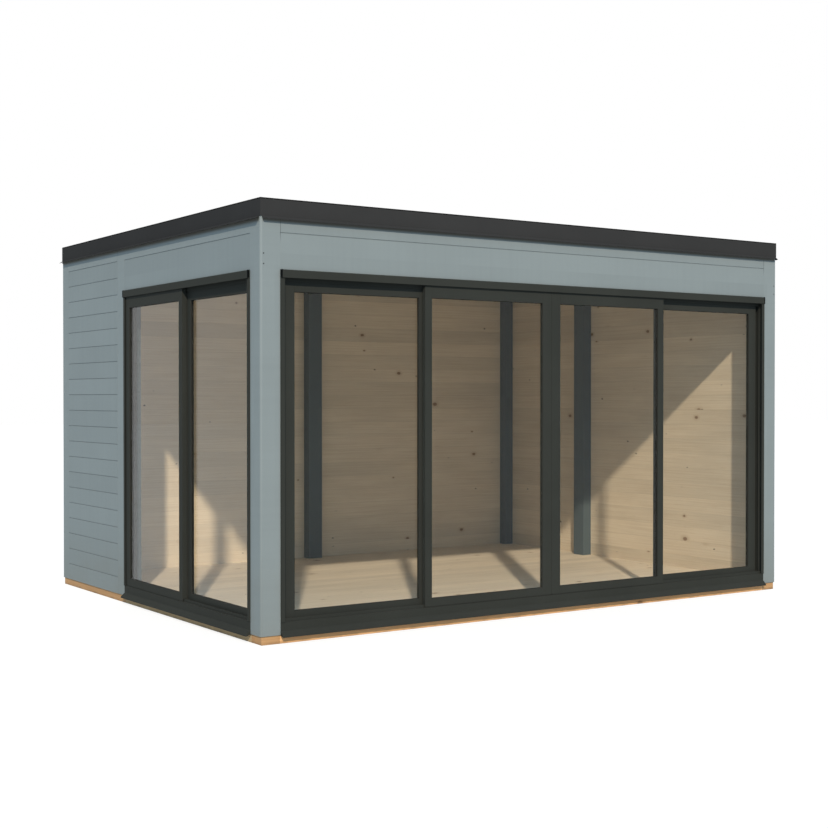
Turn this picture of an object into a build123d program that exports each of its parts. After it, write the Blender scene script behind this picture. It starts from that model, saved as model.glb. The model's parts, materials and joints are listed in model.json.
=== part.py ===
from build123d import *
import os

# A flat-roofed garden cabin of stacked wall logs between square posts, with two-track sliding glass doors.
# Millimetres, +Z up. The origin is the middle of the footprint on the ground. The front faces -Y.
# Each wall has its own coordinates: u runs along it from left to right as seen from outside,
# d runs inward from its outer face, and z runs up from the ground.

# Overall size
width = 4178
depth = 3155
height = 2500
joint_gap = 0.3
overrun = 20

# Base of flat beams with joists between them
base_height = 50
base_inset = 8.5
base_beam_width = 70
joist_width = 60
joist_count = 9

# Floor boards, laid as one deck round the posts
floor_thickness = 18
floor_clearance = 2

# Posts
post_size = 125
post_radius = 12
side_opening = 1840

# Wall logs, stacked with a V groove at every joint outside and a fine one inside
log_thickness = 44
log_pitch = 113
groove_width = 6
groove_depth = 3
inner_groove_width = 2
inner_groove_depth = 1
lintel_height = 318

# Roof: beams, deck, covering and the metal edge trim with its drip
roof_beam_width = 44
roof_beam_height = 120
roof_beam_count = 8
deck_thickness = 18
covering_thickness = 45
fascia_height = 118
trim_sheet = 2
trim_bead_width = 10
trim_bead_height = 12
trim_flange_width = 60
drip_reach = 26
drip_drop = 16
drip_corner_gap = 6

# Door frames, from the front lip back to the rear flange
frame_proud = 8
lip_thickness = 3
lip_width = 26
web_thickness = 10
flange_thickness = 4
flange_width = 54
divider_width = 16
run_clearance = 5
panel_play = 1

# Head with its weather cap
head_web = 15
cap_reach = 14
cap_thickness = 8
cap_drop = 47
cap_top_radius = 6
cap_bottom_radius = 2
head_flange_drop = 65

# Sill with its nose and its two tracks
sill_height = 71
sill_proud = 3
nose_reach = 30
nose_root_height = 22
nose_drop = 26
nose_lip_height = 8
nose_lip_thickness = 4
track_width = 6
track_height = 18
seat_gap = 0.3

# Glazed panels, all of one section
panel_thickness = 28
closing_stile = 70
interlock_stile = 50
panel_lift = 6
bottom_rail = 46
top_rail = 88
panel_head_gap = 16
guide_entry = 8
guide_clearance = 6
glass_thickness = 10
glass_edge = 10
glazing_play = 1

# Panel places along the two door sets
fixed_panel_cover = 12
front_overlap = 34
meeting_gap = 6
side_overlap = 10
parking_gap = 6

# Heights worked out from the sizes above
floor_top = base_height + floor_thickness
covering_top = height - trim_bead_height - trim_sheet
deck_top = covering_top - covering_thickness
wall_top = deck_top - deck_thickness
frame_top = wall_top - lintel_height
sill_top = base_height + sill_height
track_top = sill_top + track_height
panel_bottom = sill_top + panel_lift
glass_bottom = panel_bottom + bottom_rail
head_ceiling = frame_top - head_web
panel_top = head_ceiling - panel_head_gap
glass_top = panel_top - top_rail
cap_bottom = frame_top - cap_drop

# Depths of a door set worked out from the sizes above
slider_front = lip_thickness + run_clearance - frame_proud
middle_flange = slider_front + panel_thickness + run_clearance
fixed_front = middle_flange + flange_thickness + panel_play
rear_flange = fixed_front + panel_thickness + panel_play
frame_back = rear_flange + flange_thickness
track_places = (slider_front + panel_thickness / 2, fixed_front + panel_thickness / 2)

# Lengths along the walls
front_opening = width - 2 * post_size
left_bay = depth - side_opening - 3 * post_size
back_bay = (width - 3 * post_size) / 2
fixed_start = flange_width - fixed_panel_cover
sliding_end = (front_opening - meeting_gap) / 2
front_interlock = (fixed_start + sliding_end) / 2
side_interlock = side_opening / 2

# Wall frames: the front, the left side, the right side and the back
front = Location((-width / 2, -depth / 2, 0))
left = Location((-width / 2, depth / 2, 0), (0, 0, -90))
right = Location((width / 2, -depth / 2, 0), (0, 0, 90))
back = Location((width / 2, depth / 2, 0), (0, 0, 180))


def block(u, d, z):
    """A box between the two ends of each of its three spans."""
    sizes = [span[1] - span[0] for span in (u, d, z)]
    return Pos(u[0], d[0], z[0]) * Box(*sizes, align=(Align.MIN, Align.MIN, Align.MIN))


def outline(points):
    return make_face(Polyline(*points, close=True))


def run(section, u):
    """A section drawn in d and z, run along the wall over the span u."""
    return Pos(u[0], 0, 0) * extrude(Plane.YZ * section, u[1] - u[0], dir=(1, 0, 0))


def stand(section, z):
    """A section drawn in u and d, raised over the span z."""
    return Pos(0, 0, z[0]) * extrude(section, z[1] - z[0], dir=(0, 0, 1))


def group(solids):
    """Like pieces that share one node and don't touch."""
    return Compound([piece.solid() for piece in solids])


# Base and floor


def base_frame():
    """Four beams round the edge, and joists between the front and back beams."""
    x_out = width / 2 - base_inset
    y_out = depth / 2 - base_inset
    x_in = x_out - base_beam_width
    y_in = y_out - base_beam_width
    z = (0, base_height)
    pieces = [block((-x_out, x_out), (-y_out, -y_in), z), block((-x_out, x_out), (y_in, y_out), z)]
    between = (joint_gap - y_in, y_in - joint_gap)
    pieces += [block((-x_out, -x_in), between, z), block((x_in, x_out), between, z)]
    pitch = (2 * x_in - joist_count * joist_width) / (joist_count + 1) + joist_width
    for number in range(joist_count):
        x = (number - (joist_count - 1) / 2) * pitch
        pieces.append(block((x - joist_width / 2, x + joist_width / 2), between, z))
    return group(pieces)


def floor_deck(posts):
    """The floor inside the walls and the door frames, cut round every post."""
    z = (base_height, floor_top)
    over = (base_height - overrun, floor_top + overrun)
    inside = log_thickness + joint_gap
    x = width / 2 - inside
    y = depth / 2 - inside
    deck = block((-x, x), (-y, y), z)
    deck -= front * block((0, width), (0, frame_back + joint_gap), over)
    side_door_start = depth - post_size - side_opening
    deck -= left * block((side_door_start, depth), (0, frame_back + joint_gap), over)
    for post in posts:
        low = post.bounding_box().min
        high = post.bounding_box().max
        hole_x = (low.X - floor_clearance, high.X + floor_clearance)
        hole_y = (low.Y - floor_clearance, high.Y + floor_clearance)
        deck -= block(hole_x, hole_y, over)
    return deck


# Posts and log walls


def corner_post():
    """A post with its left front edge rounded, standing at the left end of a wall."""
    section = outline([(0, 0), (post_size, 0), (post_size, post_size), (0, post_size)])
    outer_corner = section.vertices().group_by(Axis.X)[0].sort_by(Axis.Y)[0]
    return stand(fillet(outer_corner, post_radius), (base_height, wall_top))


def middle_post(u):
    return block((u, u + post_size), (0, post_size), (base_height, wall_top))


def log_wall(u, bottom, joints):
    """Logs from the bottom height up to the wall top, grooved on both faces at every joint."""
    half = groove_width / 2
    inner_half = inner_groove_width / 2
    root = log_thickness - inner_groove_depth
    outer = [(0, bottom)]
    inner = [(log_thickness, bottom)]
    for z in joints:
        outer += [(0, z - half), (groove_depth, z), (0, z + half)]
        inner += [(log_thickness, z - inner_half), (root, z), (log_thickness, z + inner_half)]
    outer.append((0, wall_top))
    inner.append((log_thickness, wall_top))
    return run(outline(outer + inner[::-1]), u)


# Roof


def roof_beams():
    """Beams from the front wall to the back wall, under the deck."""
    inner_width = width - 2 * log_thickness
    pitch = inner_width / (roof_beam_count + 1)
    y = depth / 2 - log_thickness
    pieces = []
    for number in range(roof_beam_count):
        x = (number - (roof_beam_count - 1) / 2) * pitch
        span = (x - roof_beam_width / 2, x + roof_beam_width / 2)
        pieces.append(block(span, (-y, y), (wall_top - roof_beam_height, wall_top)))
    return group(pieces)


def roof_slab(z):
    return block((-width / 2, width / 2), (-depth / 2, depth / 2), z)


def roof_trim(length):
    """Folded sheet over one roof edge: bead, flange, fascia and a drip turned outward."""
    fold = height - fascia_height + drip_drop
    section = outline(
        [
            (-trim_sheet, height),
            (trim_bead_width, height),
            (trim_bead_width, covering_top + trim_sheet),
            (trim_flange_width, covering_top + trim_sheet),
            (trim_flange_width, covering_top),
            (0, covering_top),
            (0, fold),
            (-drip_reach, fold - drip_drop),
            (-drip_reach - trim_sheet, fold - drip_drop),
            (-trim_sheet, fold),
        ]
    )
    reach = trim_flange_width + overrun
    half_gap = joint_gap / 2
    mitre = outline(
        [
            (half_gap - reach, -reach),
            (length + reach - half_gap, -reach),
            (length - reach - half_gap, reach),
            (reach + half_gap, reach),
        ]
    )
    trim = run(section, (-reach, length + reach))
    trim &= stand(mitre, (0, height + overrun))
    drip_zone = (0, fold)
    outside = (-reach, -trim_sheet)
    trim -= block((-reach, drip_corner_gap), outside, drip_zone)
    trim -= block((length - drip_corner_gap, length + reach), outside, drip_zone)
    return trim


# Door frames


def door_sill(length):
    """A sill with a sloping nose, and one raised track for each row of panels."""
    section = outline(
        [
            (frame_back, base_height),
            (frame_back, sill_top),
            (-sill_proud, sill_top),
            (-sill_proud, base_height + nose_root_height),
            (-nose_reach, base_height + nose_root_height - nose_drop),
            (-nose_reach, base_height + nose_root_height - nose_drop - nose_lip_height),
            (nose_lip_thickness - nose_reach, base_height + nose_root_height - nose_drop - nose_lip_height),
            (base_inset, base_height),
        ]
    )
    sill = run(section, (0, length))
    inside = (web_thickness, length - web_thickness)
    for d in track_places:
        sill += block(inside, (d - track_width / 2, d + track_width / 2), (sill_top, track_top))
    return sill


def door_head(length):
    """A rounded weather cap over the frame, with a guide and a rear flange for each row of panels."""
    section = outline(
        [
            (-cap_reach, cap_bottom),
            (-cap_reach, frame_top),
            (frame_back, frame_top),
            (frame_back, head_ceiling),
            (cap_thickness - cap_reach, head_ceiling),
            (cap_thickness - cap_reach, cap_bottom),
        ]
    )
    front_corners = section.vertices().group_by(Axis.X)[0].sort_by(Axis.Y)
    section = fillet(front_corners[1], cap_top_radius)
    section = fillet(section.vertices().group_by(Axis.Y)[0].sort_by(Axis.X)[0], cap_bottom_radius)
    head = run(section, (0, length))
    inside = (web_thickness, length - web_thickness)
    guide_bottom = panel_top - guide_entry
    for d in track_places:
        head += block(inside, (d - track_width / 2, d + track_width / 2), (guide_bottom, head_ceiling))
    flange_span = (frame_top - head_flange_drop, head_ceiling)
    for d, start in ((middle_flange, divider_width), (rear_flange, flange_width)):
        between_jambs = (start + joint_gap, length - start - joint_gap)
        head += block(between_jambs, (d, d + flange_thickness), flange_span)
    return head


def door_jamb():
    """The left jamb: a web with a front lip, a narrow divider between the tracks and a rear flange."""
    section = outline(
        [
            (0, -frame_proud),
            (lip_width, -frame_proud),
            (lip_width, lip_thickness - frame_proud),
            (web_thickness, lip_thickness - frame_proud),
            (web_thickness, middle_flange),
            (divider_width, middle_flange),
            (divider_width, middle_flange + flange_thickness),
            (web_thickness, middle_flange + flange_thickness),
            (web_thickness, rear_flange),
            (flange_width, rear_flange),
            (flange_width, frame_back),
            (0, frame_back),
        ]
    )
    jamb = stand(section, (sill_top, head_ceiling))
    lip = (-frame_proud, lip_thickness - frame_proud)
    return jamb - block((0, lip_width), lip, (cap_bottom, head_ceiling))


def mirrored(piece, length):
    """The same piece at the other end of a door set."""
    return Pos(length, 0, 0) * mirror(piece, Plane.YZ)


# Glazed panels


def panel_frame(u, d, stiles):
    """Two stiles and two rails, slotted below for the track, above for the guide and inside for the glass."""
    middle = d + panel_thickness / 2
    slot = (middle - track_width / 2 - run_clearance, middle + track_width / 2 + run_clearance)
    full = (u[0] - overrun, u[1] + overrun)
    track_slot = block(full, slot, (panel_bottom - overrun, track_top + seat_gap))
    guide_slot = block(full, slot, (panel_top - guide_entry - guide_clearance, panel_top + overrun))
    inner = (u[0] + stiles[0], u[1] - stiles[1])
    rebate_depth = glass_edge + seat_gap
    rebate = block(
        (inner[0] - rebate_depth, inner[1] + rebate_depth),
        (middle - glass_thickness / 2 - glazing_play, middle + glass_thickness / 2 + glazing_play),
        (glass_bottom - rebate_depth, glass_top + rebate_depth),
    )
    thick = (d, d + panel_thickness)
    rail_span = (inner[0] + joint_gap, inner[1] - joint_gap)
    bars = [
        block((u[0], inner[0]), thick, (panel_bottom, panel_top)),
        block((inner[1], u[1]), thick, (panel_bottom, panel_top)),
        block(rail_span, thick, (panel_bottom, glass_bottom)),
        block(rail_span, thick, (glass_top, panel_top)),
    ]
    return group([bar - track_slot - guide_slot - rebate for bar in bars])


def panel_glass(u, d, stiles):
    middle = d + panel_thickness / 2
    return block(
        (u[0] + stiles[0] - glass_edge, u[1] - stiles[1] + glass_edge),
        (middle - glass_thickness / 2, middle + glass_thickness / 2),
        (glass_bottom - glass_edge, glass_top + glass_edge),
    )


parts = {}

# Posts: four at the corners, and one in the middle of the left, right and back walls
side_post = depth - 2 * post_size - side_opening
parts["post_front_left"] = front * corner_post()
parts["post_back_left"] = left * corner_post()
parts["post_front_right"] = right * corner_post()
parts["post_back_right"] = back * corner_post()
parts["post_left_middle"] = left * middle_post(side_post)
parts["post_right_middle"] = right * middle_post(depth - side_post - post_size)
parts["post_back_middle"] = back * middle_post(post_size + back_bay)
parts["floor"] = floor_deck(list(parts.values()))
parts["base_frame"] = base_frame()

# Log walls between the posts, and the logs over the two door sets
front_span = (post_size, width - post_size)
side_span = (side_post + post_size, depth - post_size)
joint_count = int((wall_top - base_height - groove_width) / log_pitch)
log_joints = [base_height + (number + 1) * log_pitch for number in range(joint_count)]
wall_spans = {
    "wall_left": (left, (post_size, post_size + left_bay)),
    "wall_right_front": (right, (post_size, post_size + side_opening)),
    "wall_right_back": (right, (depth - post_size - left_bay, depth - post_size)),
    "wall_back_right": (back, (post_size, post_size + back_bay)),
    "wall_back_left": (back, (width - post_size - back_bay, width - post_size)),
}
for node, (wall, span) in wall_spans.items():
    parts[node] = wall * log_wall(span, base_height, log_joints)
parts["front_lintel"] = front * log_wall(front_span, frame_top, log_joints[-1:])
parts["side_lintel"] = left * log_wall(side_span, frame_top, log_joints[-1:])

# Roof
parts["roof_beams"] = roof_beams()
parts["roof_deck"] = roof_slab((wall_top, deck_top))
parts["roof_covering"] = roof_slab((deck_top, covering_top))
trim_sides = {"front": (front, width), "left": (left, depth), "right": (right, depth), "back": (back, width)}
for side, (wall, length) in trim_sides.items():
    parts[f"roof_trim_{side}"] = wall * roof_trim(length)

# Front door set: fixed panels at the ends in the inner row, sliding panels in the outer row
front_set = front * Pos(post_size, 0, 0)
parts["front_door_sill"] = front_set * door_sill(front_opening)
parts["front_door_head"] = front_set * door_head(front_opening)
parts["front_door_jamb_left"] = front_set * door_jamb()
parts["front_door_jamb_right"] = front_set * mirrored(door_jamb(), front_opening)
front_panels = {
    "fixed": ((fixed_start, front_interlock + front_overlap / 2), fixed_front, (closing_stile, interlock_stile)),
    "sliding": (
        (front_interlock - front_overlap / 2, sliding_end),
        slider_front,
        (interlock_stile, closing_stile),
    ),
}
for kind, (u, d, stiles) in front_panels.items():
    frame = panel_frame(u, d, stiles)
    glass = panel_glass(u, d, stiles)
    parts[f"front_{kind}_panel_left"] = front_set * frame
    parts[f"front_{kind}_glass_left"] = front_set * glass
    parts[f"front_{kind}_panel_right"] = front_set * mirrored(frame, front_opening)
    parts[f"front_{kind}_glass_right"] = front_set * mirrored(glass, front_opening)

# Side door set: the rear panel slides in the outer row, the front panel is fixed in the inner row
side_set = left * Pos(side_span[0], 0, 0)
parts["side_door_sill"] = side_set * door_sill(side_opening)
parts["side_door_head"] = side_set * door_head(side_opening)
parts["side_door_jamb_back"] = side_set * door_jamb()
parts["side_door_jamb_front"] = side_set * mirrored(door_jamb(), side_opening)
side_panels = {
    "sliding": (
        (web_thickness + parking_gap, side_interlock + side_overlap / 2),
        slider_front,
        (closing_stile, interlock_stile),
    ),
    "fixed": (
        (side_interlock - side_overlap / 2, side_opening - fixed_start),
        fixed_front,
        (interlock_stile, closing_stile),
    ),
}
for kind, (u, d, stiles) in side_panels.items():
    parts[f"side_{kind}_panel"] = side_set * panel_frame(u, d, stiles)
    parts[f"side_{kind}_glass"] = side_set * panel_glass(u, d, stiles)

# Travel of the sliding panels, up to the parking gap at the far jamb
front_travel = front_interlock - front_overlap / 2 - web_thickness - parking_gap
side_travel = side_opening - side_interlock - side_overlap / 2 - web_thickness - parking_gap
print("front sliding travel", front_travel, "side sliding travel", side_travel)

os.makedirs("parts", exist_ok=True)
for node, shape in parts.items():
    export_step(shape, f"parts/{node}.step")
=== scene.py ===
import json
import math

import bmesh
import bpy
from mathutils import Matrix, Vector


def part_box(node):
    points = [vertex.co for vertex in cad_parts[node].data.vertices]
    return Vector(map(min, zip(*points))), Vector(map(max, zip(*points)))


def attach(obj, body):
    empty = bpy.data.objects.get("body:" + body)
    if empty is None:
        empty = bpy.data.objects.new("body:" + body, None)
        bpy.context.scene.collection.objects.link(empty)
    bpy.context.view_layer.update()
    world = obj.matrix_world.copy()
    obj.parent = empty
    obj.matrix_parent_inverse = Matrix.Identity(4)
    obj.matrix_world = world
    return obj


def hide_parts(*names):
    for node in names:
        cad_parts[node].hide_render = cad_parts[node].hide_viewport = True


# A flat-roofed garden cabin: painted log walls, knotty wood inside and dark sliding glass doors.
# Metres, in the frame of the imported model.

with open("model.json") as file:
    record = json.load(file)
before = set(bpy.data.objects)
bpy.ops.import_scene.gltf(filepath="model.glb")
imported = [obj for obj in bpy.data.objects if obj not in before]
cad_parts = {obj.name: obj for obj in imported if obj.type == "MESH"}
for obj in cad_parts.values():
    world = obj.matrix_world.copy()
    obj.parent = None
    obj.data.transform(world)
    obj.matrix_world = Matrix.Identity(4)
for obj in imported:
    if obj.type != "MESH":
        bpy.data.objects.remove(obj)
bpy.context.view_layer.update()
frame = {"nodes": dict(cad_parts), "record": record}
nodes = frame["nodes"]
MM = 0.001

# Places taken from the frame
wall_low, wall_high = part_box("roof_deck")
half_width = wall_high.x
half_depth = wall_high.y
base_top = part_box("base_frame")[1].z
wall_top = wall_low.z
drip_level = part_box("roof_trim_front")[0].z
trim_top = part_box("roof_trim_front")[1].z
lintel_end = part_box("front_lintel")[1].x
log_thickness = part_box("wall_left")[1].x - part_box("wall_left")[0].x
log_pitch = 113 * MM
board_pitch = 121 * MM
board_gap = 1 * MM
beam_pitch = 0.4

# Colours as seen in even light, and the painted shade under the drip and inside the posts
PAINT = (0.264, 0.311, 0.332)
PAINT_DIRT = (0.215, 0.230, 0.220)
# painted shade under the drip
DRIP_SHADE = (0.120, 0.112, 0.095)
# a darker copy of the post paint, painted shade inside the cabin
POST_INSIDE_SHADE = (0.080, 0.108, 0.120)
WOOD = (0.71, 0.61, 0.47)
WOOD_DARK = (0.50, 0.37, 0.235)
FLOOR_WOOD = (0.74, 0.655, 0.535)
KNOT = (0.20, 0.11, 0.055)
PIN_KNOT = (0.050, 0.032, 0.022)
BASE_WOOD = (0.68, 0.41, 0.205)
BASE_DARK = (0.46, 0.24, 0.10)
BASE_DAMP = (0.16, 0.095, 0.05)
BASE_GREY = (0.60, 0.525, 0.33)
METAL = (0.0410, 0.0450, 0.0420)
METAL_DUST = (0.062, 0.062, 0.060)
TRIM = (0.0465, 0.0475, 0.0500)
MEMBRANE = (0.040, 0.042, 0.046)
MEMBRANE_DUST = (0.12, 0.115, 0.105)
GASKET = (0.027, 0.028, 0.027)
END_CAP = (0.005, 0.0065, 0.0075)
GLASS = (0.985, 0.995, 0.99)
GLASS_PASSING = (0.968, 0.978, 0.973)

# Which nodes take which finish
POSTS = [name for name in nodes if name.startswith("post_")]
LOGS = [name for name in nodes if name.startswith("wall_") or name.endswith("_lintel")]
TRIMS = [name for name in nodes if name.startswith("roof_trim_")]
PANES = [name for name in nodes if "_glass" in name]
DOOR_METAL = [name for name in nodes if "_door_" in name or "_panel" in name]


# Node trees


class Graph:
    """The node tree of one material, with a short call for each kind of node."""

    def __init__(self, name):
        self.material = bpy.data.materials.new(name)
        self.material.use_nodes = True
        self.tree = self.material.node_tree
        self.tree.nodes.clear()
        self.output = self.tree.nodes.new("ShaderNodeOutputMaterial")

    def feed(self, socket, value):
        """Links a socket to another one, or sets its value."""
        if isinstance(value, bpy.types.NodeSocket):
            self.tree.links.new(value, socket)
        elif isinstance(value, tuple) and len(socket.default_value) > len(value):
            socket.default_value = (*value, 1)
        else:
            socket.default_value = value

    def fed(self, made, values):
        """Feeds the inputs of a node, by name or by number."""
        for key, value in values.items():
            self.feed(made.inputs[key], value)
        return made

    def node(self, kind, **settings):
        made = self.tree.nodes.new("ShaderNode" + kind)
        for name, value in settings.items():
            setattr(made, name, value)
        return made

    def math(self, operation, *values):
        made = self.node("Math", operation=operation)
        return self.fed(made, dict(enumerate(values))).outputs[0]

    def times(self, first, second):
        return self.math("MULTIPLY", first, second)

    def plus(self, first, second):
        return self.math("ADD", first, second)

    def minus(self, first, second):
        return self.math("SUBTRACT", first, second)

    def rest(self, share):
        """What a share leaves of 1."""
        return self.minus(1.0, share)

    def absolute(self, value):
        return self.math("ABSOLUTE", value)

    def larger(self, first, second):
        return self.math("MAXIMUM", first, second)

    def above(self, value, limit):
        """1 where the value is over the limit, and 0 elsewhere."""
        return self.math("GREATER_THAN", value, limit)

    def below(self, value, limit):
        """1 where the value is under the limit, and 0 elsewhere."""
        return self.math("LESS_THAN", value, limit)

    def span(self, value, low, high, start=0.0, end=1.0):
        """A smooth step: start at low, end at high."""
        made = self.node("MapRange", interpolation_type="SMOOTHSTEP")
        return self.fed(made, dict(enumerate((value, low, high, start, end)))).outputs[0]

    def mix(self, share, first, second):
        """A colour between two others."""
        made = self.node("Mix", data_type="RGBA")
        return self.fed(made, {0: share, 6: first, 7: second}).outputs[2]

    def mix_numbers(self, share, first, second):
        """A number between two others."""
        made = self.node("Mix", data_type="FLOAT")
        return self.fed(made, {0: share, 2: first, 3: second}).outputs[0]

    def scaled(self, colour, factor):
        made = self.node("VectorMath", operation="SCALE")
        return self.fed(made, {0: colour, "Scale": factor}).outputs[0]

    def vector(self, x, y, z=0.0):
        return self.fed(self.node("CombineXYZ"), {0: x, 1: y, 2: z}).outputs[0]

    def stretched(self, run, across, scales, layer=0.0):
        """A flat place with its two ways scaled, in a layer of its own."""
        return self.vector(self.times(run, scales[0]), self.times(across, scales[1]), layer)

    def split(self, vector):
        return self.fed(self.node("SeparateXYZ"), {0: vector}).outputs[:3]

    def noise(self, vector, scale, detail=3.0, roughness=0.55):
        values = {"Vector": vector, "Scale": scale, "Detail": detail, "Roughness": roughness}
        return self.fed(self.node("TexNoise"), values).outputs[0]

    def random(self, value):
        made = self.node("TexWhiteNoise", noise_dimensions="1D")
        return self.fed(made, {"W": value}).outputs["Value"]

    def place(self):
        """The point on the piece, in the frame at rest."""
        return self.node("TexCoord").outputs["Object"]

    def bump(self, height, distance, strength=1.0):
        values = {"Height": height, "Distance": distance, "Strength": strength}
        return self.fed(self.node("Bump"), values).outputs[0]

    def surface(self, colour, roughness, normal=None, shine=0.3):
        """A Principled surface as the material's result."""
        made = self.node("BsdfPrincipled")
        self.feed(made.inputs["Base Color"], colour)
        self.feed(made.inputs["Roughness"], roughness)
        made.inputs["Specular IOR Level"].default_value = shine
        if normal is not None:
            self.feed(made.inputs["Normal"], normal)
        self.tree.links.new(made.outputs[0], self.output.inputs[0])
        return made


def along_wall(graph, place):
    """The place along a wall whichever way it runs, the height, and 1 where the wall faces sideways."""
    x, y, z = graph.split(place)
    facing = graph.split(graph.node("NewGeometry").outputs["Normal"])
    sideways = graph.above(graph.absolute(facing[0]), graph.absolute(facing[1]))
    run = graph.plus(graph.times(y, sideways), graph.times(x, graph.rest(sideways)))
    return run, z, sideways


# Finishes

# Scales of the patterns along and across the grain, and how far the pattern shifts from board to board
knot_scales = (1.9, 2.9)
grain_scales = (1.6, 95.0)
dash_scales = (7.0, 160.0)
paint_grain_scales = (2.2, 130.0)
paint_streak_scales = (26.0, 0.9)
metal_streak_scales = (18.0, 18.0, 0.8)
board_shift = 37.0
pin_knot_shift = 11.3
paint_shift = 23.0
knot_bend = 0.012

# Numbers that keep the boards of different walls and finishes apart
side_wall_boards = 50.0
bare_boards = 200.0
post_boards = 90.0

# Painted shade under the drip, away from the corners
drip_shade_corner = 14 * MM
drip_shade_bottom = drip_level - 24 * MM
drip_shade_top = drip_level - 2 * MM
drip_shade_most = 0.85

# Painted shadow of an open joint between the top logs and the corner posts
joint_line = (lintel_end - 5 * MM, lintel_end - 2 * MM)
joint_height = (wall_top - 180 * MM, wall_top - 110 * MM)
joint_shade = 0.5

# Surfaces
# how dark the painted shade in the grooves is
groove_shade_tone = 0.75
paint_roughness = 0.56
paint_shine = 0.035
wood_roughness = 0.62
paint_relief = (0.0003, 0.4)
damp_height = 22 * MM
# the painted shade line along the top of the trim
rim_fade = (10 * MM, 5 * MM)
rim_shade_tone = 0.35
glass_ior = 1.23


def knots(graph, run, across, share, small, large):
    """Scattered knots, longer along the grain, of radii from small to large. Gives core and rim."""
    cells = graph.node("TexVoronoi", voronoi_dimensions="2D")
    graph.fed(cells, {"Scale": 1.0, "Vector": graph.stretched(run, across, knot_scales)})
    chance, size, _ = graph.split(cells.outputs["Color"])
    present = graph.below(chance, share)
    reach = graph.math("DIVIDE", cells.outputs["Distance"], graph.span(size, 0.0, 1.0, small, large))
    core = graph.times(present, graph.span(reach, 1.0, 0.6))
    rim = graph.times(present, graph.span(reach, 2.4, 0.9))
    return core, rim


def knotty(graph, run, across, board, light, dark):
    """Planed softwood: grain, a tone for each board, brown knots and black pin knots. Colour and height."""
    own = graph.random(board)
    shifted = graph.plus(run, graph.times(own, board_shift))
    core, rim = knots(graph, shifted, across, share=0.42, small=0.018, large=0.055)
    pin_run = graph.plus(shifted, pin_knot_shift)
    pin, pin_rim = knots(graph, pin_run, across, share=0.75, small=0.008, large=0.022)
    bend = graph.times(graph.larger(rim, pin_rim), knot_bend)
    grain_place = graph.stretched(shifted, graph.plus(across, bend), grain_scales)
    grain = graph.noise(grain_place, 1.0, 5.0, 0.6)
    dash_place = graph.stretched(shifted, across, dash_scales, layer=3.0)
    dashes = graph.span(graph.noise(dash_place, 1.0, 2.0), 0.63, 0.73)
    blotch = graph.noise(graph.vector(shifted, graph.times(across, 3.0), 5.0), 1.3, 3.0)
    colour = graph.mix(graph.span(grain, 0.35, 0.72, 0.0, 0.34), light, dark)
    marks = ((dashes, 0.42, dark), (rim, 0.45, dark), (core, 0.82, KNOT), (pin, 0.92, PIN_KNOT))
    for share, most, tint in marks:
        colour = graph.mix(graph.times(share, most), colour, tint)
    tone = graph.plus(graph.span(own, 0.0, 1.0, 0.94, 1.05), graph.span(blotch, 0.3, 0.7, -0.05, 0.05))
    height = graph.minus(graph.times(grain, 0.5), graph.times(core, 0.3))
    return graph.scaled(colour, tone), height


def painted(graph, run, across, board, z):
    """Opaque satin paint over wood: faint grain, a tone for each board and dust towards the ground."""
    own = graph.random(board)
    shifted = graph.plus(run, graph.times(own, paint_shift))
    grain = graph.noise(graph.stretched(shifted, across, paint_grain_scales), 1.0, 4.0, 0.6)
    cloud = graph.noise(graph.vector(run, z, board), 1.7, 4.0)
    streak = graph.noise(graph.stretched(run, z, paint_streak_scales), 1.0, 3.0)
    low = graph.times(graph.span(z, 0.55, 0.05), graph.span(cloud, 0.35, 0.7, 0.1, 0.5))
    tone = graph.plus(graph.span(own, 0.0, 1.0, 0.98, 1.02), graph.span(cloud, 0.25, 0.75, -0.025, 0.025))
    tone = graph.plus(tone, graph.span(grain, 0.3, 0.7, -0.005, 0.005))
    tone = graph.plus(tone, graph.span(streak, 0.35, 0.75, 0.008, -0.015))
    colour = graph.mix(low, graph.scaled(PAINT, tone), PAINT_DIRT)
    return colour, grain


def drip_shaded(graph, colour, place):
    """Paint with shade painted in under the drip, but not where the drips stop short of a corner."""
    x, y, z = graph.split(place)
    near_x = graph.above(graph.absolute(x), half_width - drip_shade_corner)
    near_y = graph.above(graph.absolute(y), half_depth - drip_shade_corner)
    under_drip = graph.span(z, drip_shade_bottom, drip_shade_top, 0.0, drip_shade_most)
    share = graph.times(under_drip, graph.rest(graph.times(near_x, near_y)))
    return graph.mix(share, colour, DRIP_SHADE)


def groove_shade(graph):
    """A factor that darkens the sloping faces of a groove: painted shade in the groove."""
    slope = graph.absolute(graph.split(graph.node("NewGeometry").outputs["True Normal"])[2])
    return graph.span(slope, 0.3, 0.6, 1.0, groove_shade_tone)


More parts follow.
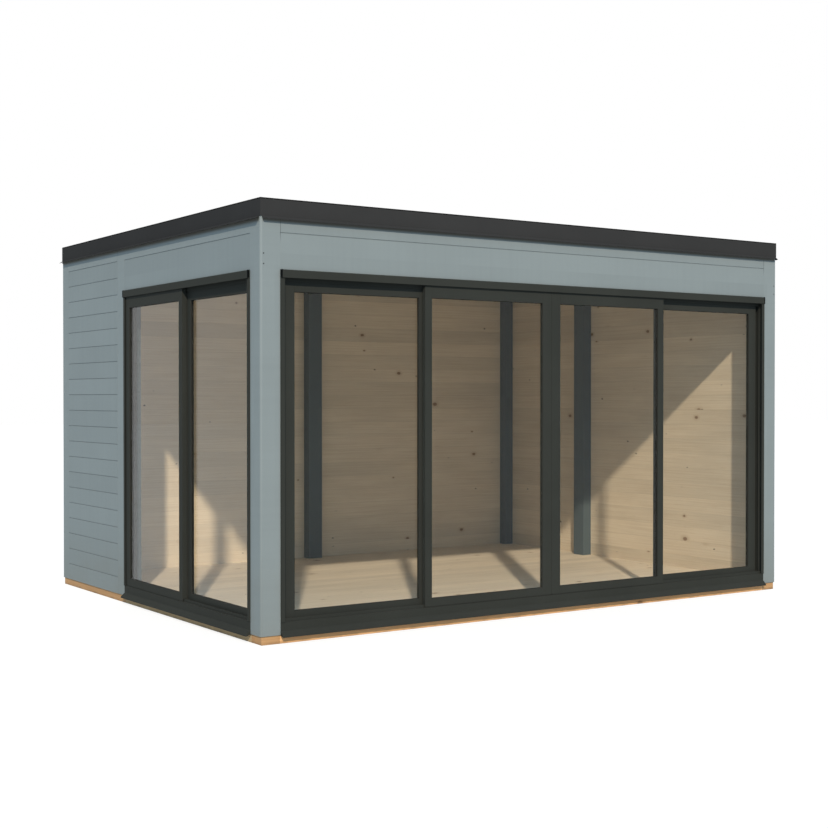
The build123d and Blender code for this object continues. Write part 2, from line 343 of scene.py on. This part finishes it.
def log_finish():
    """Logs are painted outside and bare inside, with painted shade in the groove at every joint, under the
    drip and at the open joint by the posts.
    """
    graph = Graph("painted_logs")
    place = graph.place()
    x, y, _ = graph.split(place)
    run, z, sideways = along_wall(graph, place)
    log = graph.math("FLOOR", graph.math("DIVIDE", graph.minus(z, base_top), log_pitch))
    board = graph.plus(log, graph.times(sideways, side_wall_boards))
    paint, paint_height = painted(graph, run, z, board, z)
    wood, wood_height = knotty(graph, run, z, graph.plus(board, bare_boards), WOOD, WOOD_DARK)
    beyond_x = graph.above(graph.absolute(x), half_width - log_thickness / 2)
    beyond_y = graph.above(graph.absolute(y), half_depth - log_thickness / 2)
    outside = graph.larger(beyond_x, beyond_y)
    shade = groove_shade(graph)
    # painted shadow of the open joint by the corner posts, on the paint of the top logs
    at_post = graph.times(graph.span(graph.absolute(x), *joint_line), graph.rest(sideways))
    joint_shadow = graph.times(at_post, graph.span(z, *joint_height, 0.0, joint_shade))
    paint = graph.scaled(graph.scaled(paint, shade), graph.rest(joint_shadow))
    colour = graph.mix(outside, graph.scaled(wood, shade), drip_shaded(graph, paint, place))
    height = graph.mix_numbers(outside, wood_height, paint_height)
    rough = graph.span(outside, 0.0, 1.0, wood_roughness, paint_roughness)
    graph.surface(colour, rough, graph.bump(height, *paint_relief), paint_shine)
    return graph.material


def post_finish():
    """Posts have upright grain, with a darker copy of the paint inside as painted shade, and painted shade
    under the drip outside.
    """
    graph = Graph("painted_posts")
    place = graph.place()
    x, y, _ = graph.split(place)
    run, z, _ = along_wall(graph, place)
    board = graph.plus(graph.math("FLOOR", graph.times(run, 2.0)), post_boards)
    colour, height = painted(graph, z, run, board, z)
    within_x = graph.below(graph.absolute(x), half_width - log_thickness)
    within_y = graph.below(graph.absolute(y), half_depth - log_thickness)
    inside = graph.times(within_x, within_y)
    shade = graph.scaled(POST_INSIDE_SHADE, graph.span(height, 0.3, 0.7, 0.95, 1.05))
    colour = graph.mix(inside, drip_shaded(graph, colour, place), shade)
    graph.surface(colour, paint_roughness, graph.bump(height, *paint_relief), paint_shine)
    return graph.material


def board_finish(name, light, dark, pitch, lengthwise):
    """Bare boards that run along x or y, each with its own tone."""
    graph = Graph(name)
    x, y, z = graph.split(graph.place())
    run, across = (x, y) if lengthwise == "x" else (y, x)
    board = graph.math("FLOOR", graph.math("DIVIDE", across, pitch))
    colour, height = knotty(graph, run, graph.plus(across, z), board, light, dark)
    graph.surface(colour, 0.6, graph.bump(height, 0.0005, 0.5))
    return graph.material


def under_sill(graph, sill, x, y):
    """1 under a door sill and 0 elsewhere."""
    low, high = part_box(sill)
    inside = 1.0
    for place, start, stop in ((x, low.x, high.x), (y, low.y, high.y)):
        inside = graph.times(inside, graph.above(place, start))
        inside = graph.times(inside, graph.below(place, stop))
    return inside


def base_finish():
    """Treated base timber: painted light under the front sill, lighter and greyer under the side sill, with
    damp dirt low down.
    """
    graph = Graph("base_timber")
    place = graph.place()
    run, z, sideways = along_wall(graph, place)
    x, y, _ = graph.split(place)
    across = graph.plus(z, graph.times(graph.plus(x, y), 0.01))
    colour, height = knotty(graph, run, across, sideways, BASE_WOOD, BASE_DARK)
    front_sill_light = under_sill(graph, "front_door_sill", x, y)
    grey = graph.times(under_sill(graph, "side_door_sill", x, y), 0.5)
    # painted light: lighter under the front sill, against the shadow of the sill's nose
    colour = graph.scaled(colour, graph.span(front_sill_light, 0.0, 1.0, 0.84, 1.36))
    colour = graph.mix(grey, colour, BASE_GREY)
    patches = graph.span(graph.noise(graph.vector(run, z), 9.0), 0.4, 0.65, 0.15, 0.7)
    damp = graph.times(graph.span(z, damp_height, 0.0), patches)
    # less damp under the front sill, as part of the painted light there
    damp = graph.times(damp, graph.span(front_sill_light, 0.0, 1.0, 1.0, 0.7))
    colour = graph.mix(damp, colour, BASE_DAMP)
    graph.surface(colour, 0.72, graph.bump(height, 0.001, 0.6), shine=0.25)
    return graph.material


def coated_metal(name, colour, dust, roughness, wave, shine, rim=None):
    """Fine-textured powder coat with a little dust and a slight wave, painted shade on faces that look down,
    and a painted shade line at a rim of that height.
    """
    graph = Graph(name)
    place = graph.place()
    fine = graph.noise(place, 900.0, 2.0)
    cloud = graph.noise(place, 2.3, 4.0)
    streak_place = graph.node("VectorMath", operation="MULTIPLY")
    graph.fed(streak_place, {0: place, 1: metal_streak_scales})
    streak = graph.noise(streak_place.outputs[0], 1.0, 3.0)
    facing = graph.split(graph.node("NewGeometry").outputs["Normal"])[2]
    level = graph.times(graph.span(facing, 0.85, 0.99), graph.span(cloud, 0.3, 0.7, 0.25, 0.6))
    share = graph.plus(level, graph.span(streak, 0.5, 0.8, 0.0, 0.08))
    tone = graph.plus(graph.span(cloud, 0.25, 0.75, 0.94, 1.06), graph.span(fine, 0.3, 0.7, -0.05, 0.05))
    # painted shade: faces that look down are darker
    tone = graph.times(tone, graph.span(facing, -0.75, -0.2, 0.4, 1.0))
    if rim is not None:
        z = graph.split(place)[2]
        # painted shade line along the top, above the rim's fade
        tone = graph.times(tone, graph.span(z, rim - rim_fade[0], rim - rim_fade[1], 1.0, rim_shade_tone))
    tinted = graph.mix(share, graph.scaled(colour, tone), dust)
    swell = graph.noise(place, 1.6, 1.0)
    height = graph.plus(graph.times(fine, 0.02), graph.times(swell, wave))
    rough = graph.span(cloud, 0.3, 0.7, roughness - 0.05, roughness + 0.06)
    graph.surface(tinted, rough, graph.bump(height, 0.004, 0.6), shine)
    return graph.material


def membrane_finish():
    """Roof sheet: matt, with dust that settled in shallow pools."""
    graph = Graph("roof_membrane")
    place = graph.place()
    pools = graph.noise(place, 1.1, 5.0, 0.6)
    fine = graph.noise(place, 260.0, 2.0)
    colour = graph.mix(graph.span(pools, 0.42, 0.68, 0.0, 0.4), MEMBRANE, MEMBRANE_DUST)
    colour = graph.scaled(colour, graph.span(fine, 0.3, 0.7, 0.9, 1.1))
    rough = graph.span(pools, 0.4, 0.65, 0.72, 0.85)
    graph.surface(colour, rough, graph.bump(fine, 0.0004, 0.5), shine=0.08)
    return graph.material


def rubber_finish(name, tint, most_dust, shine):
    """Rubber or plastic, dusty in places."""
    graph = Graph(name)
    place = graph.place()
    dust = graph.span(graph.noise(place, 14.0, 4.0), 0.45, 0.7, 0.0, most_dust)
    colour = graph.mix(dust, tint, METAL_DUST)
    graph.surface(colour, 0.68, graph.bump(graph.noise(place, 700.0, 2.0), 0.0002, 0.4), shine)
    return graph.material


def glass_finish():
    """Clear glass with a faint film of dust. Lamp light and bounced light pass straight through."""
    graph = Graph("clear_glass")
    film = graph.noise(graph.place(), 5.0, 4.0)
    rough = graph.span(film, 0.3, 0.8, 0.0, 0.02)
    clear = graph.surface(GLASS, rough, shine=0.5)
    clear.inputs["Transmission Weight"].default_value = 1.0
    clear.inputs["IOR"].default_value = glass_ior
    passing = graph.fed(graph.node("BsdfTransparent"), {"Color": GLASS_PASSING})
    path = graph.node("LightPath")
    share = graph.larger(path.outputs["Is Shadow Ray"], path.outputs["Is Diffuse Ray"])
    both = graph.node("MixShader")
    graph.fed(both, {0: share, 1: clear.outputs[0], 2: passing.outputs[0]})
    graph.tree.links.new(both.outputs[0], graph.output.inputs[0])
    return graph.material


finishes = {
    "logs": log_finish(),
    "posts": post_finish(),
    "floor": board_finish("floor_boards", FLOOR_WOOD, WOOD_DARK, board_pitch, "x"),
    "ceiling": board_finish("ceiling_boards", WOOD, WOOD_DARK, board_pitch, "x"),
    "beams": board_finish("roof_beams", WOOD, WOOD_DARK, beam_pitch, "y"),
    "base": base_finish(),
    "door": coated_metal("door_metal", METAL, METAL_DUST, roughness=0.5, wave=0.0, shine=0.01),
    "trim": coated_metal("trim_metal", TRIM, METAL_DUST, roughness=0.6, wave=0.12, shine=0.0, rim=trim_top),
    "membrane": membrane_finish(),
    "gasket": rubber_finish("gasket_rubber", GASKET, most_dust=0.2, shine=0.08),
    "end_cap": rubber_finish("end_cap_plastic", END_CAP, most_dust=0.03, shine=0.01),
    "glass": glass_finish(),
}


# Carried-over nodes

weld_distance = 0.01 * MM
node_edge_angle = 30
board_edge_angle = 40


def eased(piece, width, angle, harden=False):
    """Rounds the edges of a piece that turn by more than the angle."""
    bevel = piece.modifiers.new("eased_edges", "BEVEL")
    bevel.width = width
    bevel.segments = 2
    bevel.limit_method = "ANGLE"
    bevel.angle_limit = math.radians(angle)
    bevel.harden_normals = harden


def dress(names, finish, edge=0.0):
    """Gives nodes their finish, and eases their edges by that width."""
    for name in names:
        node = nodes[name]
        node.data.materials.clear()
        node.data.materials.append(finishes[finish])
        if edge:
            weld = node.modifiers.new("weld", "WELD")
            weld.merge_threshold = weld_distance
            eased(node, edge, node_edge_angle, harden=True)


dress(LOGS, "logs", edge=0.6 * MM)
dress(POSTS, "posts", edge=2.5 * MM)
dress(["base_frame"], "base", edge=2 * MM)
dress(["roof_beams"], "beams", edge=3 * MM)
dress(["roof_covering"], "membrane")
dress(TRIMS, "trim", edge=0.5 * MM)
dress(DOOR_METAL, "door", edge=0.7 * MM)
dress(PANES, "glass")


# Pieces


def add_piece(name, mesh, finish, body):
    """A mesh as a piece that rides on a body."""
    data = bpy.data.meshes.new(name)
    bmesh.ops.recalc_face_normals(mesh, faces=mesh.faces)
    mesh.normal_update()
    mesh.to_mesh(data)
    mesh.free()
    data.materials.append(finishes[finish])
    made = bpy.data.objects.new(name, data)
    bpy.context.scene.collection.objects.link(made)
    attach(made, body)
    return made


def skin(mesh, rings):
    """Faces between each ring of points and the next."""
    count = len(rings[0])
    for ring, other in zip(rings, rings[1:]):
        for number in range(count):
            follow = (number + 1) % count
            mesh.faces.new((ring[number], ring[follow], other[follow], other[number]))


def closed_skin(mesh, rings):
    """A skin with a face over its first and its last ring."""
    skin(mesh, rings)
    mesh.faces.new(rings[0])
    mesh.faces.new(rings[-1])


def sliced_boards(node, pitch, gap):
    """The node cut across y into boards, with a fine gap at each joint."""
    low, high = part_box(node)
    boards = bmesh.new()
    first = math.floor(low.y / pitch)
    last = math.ceil(high.y / pitch)
    for number in range(first, last):
        board = bmesh.new()
        board.from_mesh(nodes[node].data)
        bmesh.ops.remove_doubles(board, verts=board.verts, dist=weld_distance)
        for edge, side in ((number * pitch + gap / 2, -1), ((number + 1) * pitch - gap / 2, 1)):
            every = board.verts[:] + board.edges[:] + board.faces[:]
            plane = {"plane_co": (0, edge, 0), "plane_no": (0, side, 0)}
            cut = bmesh.ops.bisect_plane(board, geom=every, clear_outer=True, **plane)
            rim = [item for item in cut["geom_cut"] if isinstance(item, bmesh.types.BMEdge)]
            if rim:
                bmesh.ops.edgenet_fill(board, edges=rim)
        part = bpy.data.meshes.new("board")
        board.to_mesh(part)
        board.free()
        boards.from_mesh(part)
        bpy.data.meshes.remove(part)
    return boards


floor_boards = sliced_boards("floor", board_pitch, board_gap)
floor = add_piece("floor_boards", floor_boards, "floor", "cabin")
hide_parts("floor")
eased(floor, 0.8 * MM, board_edge_angle)
ceiling_boards = sliced_boards("roof_deck", board_pitch, board_gap)
ceiling = add_piece("ceiling_boards", ceiling_boards, "ceiling", "cabin")
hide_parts("roof_deck")
eased(ceiling, 2.5 * MM, board_edge_angle)


def loop_round(mesh, corners, outward, profile):
    """A profile of (inward, outward) pairs swept round a rectangle, with mitred corners."""
    rings = []
    for number, corner in enumerate(corners):
        before = (corners[number - 1] - corner).normalized()
        after = (corners[(number + 1) % len(corners)] - corner).normalized()
        rings.append([mesh.verts.new(corner + (before + after) * a + outward * h) for a, h in profile])
    skin(mesh, rings + rings[:1])


gasket_width = 2.5 * MM
gasket_height = 6 * MM
gasket_steps = 4
gasket_cover = 10 * MM


def gasket_profile():
    """A quarter round that stands on the glass against the frame."""
    turns = [math.pi / 2 * step / gasket_steps for step in range(gasket_steps + 1)]
    return [(0.0, 0.0)] + [(gasket_width * math.sin(turn), gasket_height * math.cos(turn)) for turn in turns]


def gaskets(pane, body):
    """A gasket on both faces of a pane, round the clear opening."""
    low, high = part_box(pane)
    across = 1 if high.y - low.y < high.x - low.x else 0
    run = 1 - across
    mesh = bmesh.new()
    for face, sign in ((low, -1), (high, 1)):
        outward = Vector((0, 0, 0))
        outward[across] = sign
        corners = []
        for start, z in ((0, low.z), (1, low.z), (1, high.z), (0, high.z)):
            corner = Vector((0, 0, z + gasket_cover * (1 if z == low.z else -1)))
            corner[run] = (high[run] - gasket_cover) if start else (low[run] + gasket_cover)
            corner[across] = face[across]
            corners.append(corner)
        loop_round(mesh, corners, outward, gasket_profile())
    add_piece(pane.replace("glass", "gasket"), mesh, "gasket", body)


for body, members in frame["record"]["behaviour"]["bodies"].items():
    for pane in sorted(set(members) & set(PANES)):
        gaskets(pane, body)


# Seals and end caps of the door sets

bar_steps = 2


def bar(mesh, low, high, ease):
    """A straight bar between two corners with its long edges rounded off."""
    sizes = high - low
    long_axis = max(range(3), key=lambda axis: sizes[axis])
    a, b = [axis for axis in range(3) if axis != long_axis]
    corners = ((high[a], high[b]), (low[a], high[b]), (low[a], low[b]), (high[a], low[b]))
    outline = []
    for start, (corner_a, corner_b) in enumerate(corners):
        centre_a = corner_a - ease if corner_a == high[a] else corner_a + ease
        centre_b = corner_b - ease if corner_b == high[b] else corner_b + ease
        for step in range(bar_steps + 1):
            turn = math.pi / 2 * (start + step / bar_steps)
            outline.append((centre_a + ease * math.cos(turn), centre_b + ease * math.sin(turn)))
    rows = []
    for end in (low[long_axis], high[long_axis]):
        row = []
        for place_a, place_b in outline:
            point = Vector((0, 0, 0))
            point[long_axis], point[a], point[b] = end, place_a, place_b
            row.append(mesh.verts.new(point))
        rows.append(row)
    closed_skin(mesh, rows)


def boxed(run_axis, run, inward, z):
    """Low and high corners from spans along a wall, into the room and up."""
    low, high = Vector((0, 0, z[0])), Vector((0, 0, z[1]))
    low[run_axis], high[run_axis] = run
    low[1 - run_axis], high[1 - run_axis] = inward
    return low, high


seal_depth = 4.5 * MM
seal_width = 6 * MM
seal_clear = 5 * MM
sweep_height = 5 * MM
sweep_thick = 4 * MM
sweep_inset = 1 * MM
seal_ease = 1 * MM
meeting_fill = 2.4 * MM
meeting_front_inset = 0.4 * MM
meeting_back_inset = 5 * MM
meeting_ease = 0.3 * MM
door_pairs = (
    ("front_sliding_panel_left", "front_fixed_panel_left", "front_door_head", "front_left_slider", 0),
    ("front_sliding_panel_right", "front_fixed_panel_right", "front_door_head", "front_right_slider", 0),
    ("side_sliding_panel", "side_fixed_panel", "side_door_head", "side_slider", 1),
)


def door_seals(slider, fixed, head, body, run):
    """Pile seals where two panels overlap, and a sweep under each panel."""
    across = 1 - run
    moving_low, moving_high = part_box(slider)
    still_low, still_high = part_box(fixed)
    middle = (max(moving_low[run], still_low[run]) + min(moving_high[run], still_high[run])) / 2
    span = (middle - seal_width / 2, middle + seal_width / 2)
    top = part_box(head)[0].z - seal_clear
    moving = bmesh.new()
    still = bmesh.new()
    behind = moving_high[across]
    before = still_low[across]
    bar(moving, *boxed(run, span, (behind, behind + seal_depth), (moving_low.z, top)), seal_ease)
    bar(still, *boxed(run, span, (before - seal_depth, before), (still_low.z, top)), seal_ease)
    for mesh, low, high in ((moving, moving_low, moving_high), (still, still_low, still_high)):
        face = low[across] + sweep_inset
        sweep = boxed(run, (low[run], high[run]), (face, face + sweep_thick), (low.z - sweep_height, low.z))
        bar(mesh, *sweep, seal_ease)
    for mesh, panel, rider in ((moving, slider, body), (still, fixed, "cabin")):
        add_piece(panel.replace("panel", "seals"), mesh, "door", rider)


for pair in door_pairs:
    door_seals(*pair)


def meeting_seal(slider, body, side):
    """A soft edge that closes half of the gap between the two middle panels."""
    low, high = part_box(slider)
    edge = high.x if side > 0 else low.x
    run = sorted((edge, edge + side * meeting_fill))
    mesh = bmesh.new()
    inward = (low.y + meeting_front_inset, high.y - meeting_back_inset)
    bar(mesh, *boxed(0, run, inward, (low.z, high.z)), meeting_ease)
    add_piece(slider.replace("panel", "meeting_seal"), mesh, "door", body)


meeting_seal("front_sliding_panel_left", "front_left_slider", 1)
meeting_seal("front_sliding_panel_right", "front_right_slider", -1)

cap_end_width = 10 * MM
cap_end_proud = 0.9 * MM
cap_thickness = 8 * MM
cap_drop = 47 * MM
cap_end_round = 7 * MM
cap_end_ease = 1.5 * MM
cap_end_steps = 5


def cap_end(mesh, run, across, start, stop, outer, inner, bottom, top):
    """One plug over the end of a weather cap, from start at its outer side to stop, with rounded corners."""
    side = 1 if stop > start else -1
    outline = [(stop, bottom), (stop, top)]
    for centre_z, first in ((top - cap_end_round, 1), (bottom + cap_end_round, 0)):
        for step in range(cap_end_steps + 1):
            turn = math.pi / 2 * (first - step / cap_end_steps)
            along = start + side * cap_end_round * (1 - math.cos(turn))
            outline.append((along, centre_z + cap_end_round * math.sin(turn)))
    middle = ((start + stop) / 2, (bottom + top) / 2)
    rows = []
    for depth, ease in ((inner, 0.0), (outer + cap_end_ease, 0.0), (outer, cap_end_ease)):
        row = []
        for u, z in outline:
            shrink_u = ease if u < middle[0] else -ease
            shrink_z = ease if z < middle[1] else -ease
            point = Vector((0, 0, z + shrink_z))
            point[run] = u + shrink_u
            point[across] = depth
            row.append(mesh.verts.new(point))
        rows.append(row)
    closed_skin(mesh, rows)


def cap_ends(head, run):
    """Black plugs over both ends of a weather cap."""
    across = 1 - run
    low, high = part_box(head)
    outer = low[across] - cap_end_proud
    inner = low[across] + cap_thickness
    bottom = high.z - cap_drop - cap_end_proud
    top = high.z + cap_end_proud
    mesh = bmesh.new()
    for end, side in ((low[run], 1), (high[run], -1)):
        start = end - side * cap_end_proud
        cap_end(mesh, run, across, start, start + side * cap_end_width, outer, inner, bottom, top)
    add_piece(head.replace("head", "cap_ends"), mesh, "end_cap", "cabin")


cap_ends("front_door_head", 0)
cap_ends("side_door_head", 1)


# Roof laps and screws

lap_width = 60 * MM
lap_height = 2.5 * MM
lap_slope = 8 * MM
lap_count = 3
roof_low, roof_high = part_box("roof_covering")
flange = 60 * MM


def roof_laps():
    """Raised welded laps where the sheets of the roof overlap."""
    mesh = bmesh.new()
    ends = (roof_low.y + flange, roof_high.y - flange)
    for number in range(lap_count):
        x = roof_low.x + (roof_high.x - roof_low.x) * (number + 1) / (lap_count + 1)
        half = lap_width / 2
        section = [(-half, 0), (lap_slope - half, lap_height), (half - lap_slope, lap_height), (half, 0)]
        rows = [[mesh.verts.new((x + a, y, roof_high.z + h)) for a, h in section] for y in ends]
        closed_skin(mesh, rows)
    return mesh


add_piece("roof_laps", roof_laps(), "membrane", "cabin")


def turned(mesh, centre, axis_up, side, profile, segments):
    """A profile of (radius, height) pairs turned round an axis."""
    across = axis_up.cross(side)
    rings = []
    for radius, height in profile:
        ring = []
        for number in range(segments):
            turn = 2 * math.pi * number / segments
            spoke = side * math.cos(turn) + across * math.sin(turn)
            ring.append(mesh.verts.new(centre + spoke * radius + axis_up * height))
        rings.append(ring)
    closed_skin(mesh, rings)


washer = [(7 * MM, 0), (7 * MM, 1 * MM), (6 * MM, 1.6 * MM)]
hex_head = [(4.6 * MM, 1.4 * MM), (4.6 * MM, 4.4 * MM), (3.9 * MM, 5.2 * MM)]
round_sides = 16
hex_sides = 6
trim_sheet = 2 * MM
screw_spacing = 0.34
screw_inset = 38 * MM


def trim_screws():
    """Hexagon screws with washers along the roof flange of the trim."""
    mesh = bmesh.new()
    up = Vector((0, 0, 1))
    level = roof_high.z + trim_sheet
    x_row = roof_high.x - screw_inset
    y_row = roof_high.y - screw_inset
    places = []
    for length, row, swap in ((x_row, y_row, False), (y_row, x_row, True)):
        count = round(2 * length / screw_spacing)
        for number in range(count):
            run = -length + 2 * length * (number + 0.5) / count
            for side in (-row, row):
                places.append((side, run) if swap else (run, side))
    for x, y in places:
        centre = Vector((x, y, level))
        turned(mesh, centre, up, Vector((1, 0, 0)), washer, round_sides)
        turned(mesh, centre, up, Vector((1, 0, 0)), hex_head, hex_sides)
    return mesh


add_piece("trim_screws", trim_screws(), "trim", "cabin")

sunk_head = [
    (4.2 * MM, 0),
    (4.1 * MM, 0.35 * MM),
    (3.4 * MM, 0.5 * MM),
    (1.5 * MM, 0.5 * MM),
    (1.2 * MM, 0.1 * MM),
]
post_screw_inset = 20 * MM
post_screw_heights = (2.132, 2.190)


def post_screws():
    """Sunk screws near the top of the corner posts, front and back."""
    mesh = bmesh.new()
    for y_side in (-1, 1):
        for x_side in (-1, 1):
            for height in post_screw_heights:
                centre = Vector((x_side * (half_width - post_screw_inset), y_side * half_depth, height))
                turned(mesh, centre, Vector((0, y_side, 0)), Vector((1, 0, 0)), sunk_head, round_sides)
    return mesh


add_piece("post_screws", post_screws(), "trim", "cabin")


# Stage

FLOOR_SIZE = 120.0
FLOOR_DROP = 1 * MM
FLOOR_LIT = (0.66, 0.65, 0.63)
FLOOR_SEEN = (0.34, 0.34, 0.34)
FLOOR_GLOW = 0.77
SKY = (0.70, 1.0, 1.25, 1)
SKY_STRENGTH = 0.465


def stage_floor():
    """A pale floor that reads white to the camera but keeps the shadow of the cabin."""
    graph = Graph("stage_floor")
    path = graph.node("LightPath")
    seen = graph.larger(path.outputs["Is Camera Ray"], path.outputs["Is Transmission Ray"])
    seen = graph.larger(seen, path.outputs["Is Glossy Ray"])
    matt = graph.node("BsdfDiffuse")
    graph.feed(matt.inputs["Color"], graph.mix(seen, FLOOR_LIT, FLOOR_SEEN))
    glow = graph.node("Emission")
    graph.feed(glow.inputs["Strength"], graph.times(seen, FLOOR_GLOW))
    both = graph.fed(graph.node("AddShader"), {0: matt.outputs[0], 1: glow.outputs[0]})
    graph.tree.links.new(both.outputs[0], graph.output.inputs[0])
    mesh = bmesh.new()
    half = FLOOR_SIZE / 2
    corners = ((-half, -half), (half, -half), (half, half), (-half, half))
    mesh.faces.new([mesh.verts.new((x, y, -FLOOR_DROP)) for x, y in corners])
    data = bpy.data.meshes.new("stage_floor")
    mesh.to_mesh(data)
    mesh.free()
    data.materials.append(graph.material)
    made = bpy.data.objects.new("stage_floor", data)
    bpy.context.scene.collection.objects.link(made)


def sky():
    """Even pale light all round, and plain white where the camera, metal or glass sees it."""
    world = bpy.data.worlds.new("studio")
    world.use_nodes = True
    tree = world.node_tree
    tree.nodes.clear()
    path = tree.nodes.new("ShaderNodeLightPath")
    seen = path.outputs["Is Camera Ray"]
    for name in ("Is Glossy Ray", "Is Transmission Ray"):
        either = tree.nodes.new("ShaderNodeMath")
        either.operation = "MAXIMUM"
        tree.links.new(seen, either.inputs[0])
        tree.links.new(path.outputs[name], either.inputs[1])
        seen = either.outputs[0]
    light = tree.nodes.new("ShaderNodeBackground")
    light.inputs["Color"].default_value = SKY
    light.inputs["Strength"].default_value = SKY_STRENGTH
    white = tree.nodes.new("ShaderNodeBackground")
    white.inputs["Color"].default_value = (1, 1, 1, 1)
    white.inputs["Strength"].default_value = 1.0
    both = tree.nodes.new("ShaderNodeMixShader")
    output = tree.nodes.new("ShaderNodeOutputWorld")
    tree.links.new(seen, both.inputs[0])
    tree.links.new(light.outputs[0], both.inputs[1])
    tree.links.new(white.outputs[0], both.inputs[2])
    tree.links.new(both.outputs[0], output.inputs[0])
    bpy.context.scene.world = world


SUN_TURN = math.radians(31)
SUN_HEIGHT = math.radians(32.7)
SUN_SPREAD = math.radians(1.8)
SUN_ENERGY = 2.68
SUN_COLOUR = (1.0, 0.85, 0.67)
CAMERA_PLACE = (-5.7001, -8.4845, 1.3847)
CAMERA_TILT = math.radians(90 - 0.6681)
CAMERA_TURN = math.radians(-33.8897)
CAMERA_LENS = 60.555
SENSOR_WIDTH = 36


def sun():
    """A warm low lamp from the front left."""
    lamp = bpy.data.lights.new("sun", "SUN")
    lamp.energy = SUN_ENERGY
    lamp.angle = SUN_SPREAD
    lamp.color = SUN_COLOUR
    made = bpy.data.objects.new("sun", lamp)
    bpy.context.scene.collection.objects.link(made)
    level = math.cos(SUN_HEIGHT)
    travel = Vector((math.sin(SUN_TURN) * level, math.cos(SUN_TURN) * level, -math.sin(SUN_HEIGHT)))
    made.rotation_mode = "QUATERNION"
    made.rotation_quaternion = travel.to_track_quat("-Z", "Y")


def camera():
    """A camera fitted to the photograph's view."""
    lens = bpy.data.cameras.new("camera")
    lens.lens = CAMERA_LENS
    lens.sensor_width = SENSOR_WIDTH
    made = bpy.data.objects.new("camera", lens)
    bpy.context.scene.collection.objects.link(made)
    made.location = CAMERA_PLACE
    made.rotation_euler = (CAMERA_TILT, 0, CAMERA_TURN)
    bpy.context.scene.camera = made


stage_floor()
sky()
sun()
camera()
bpy.context.scene.view_settings.view_transform = "Standard"

bpy.context.view_layer.update()
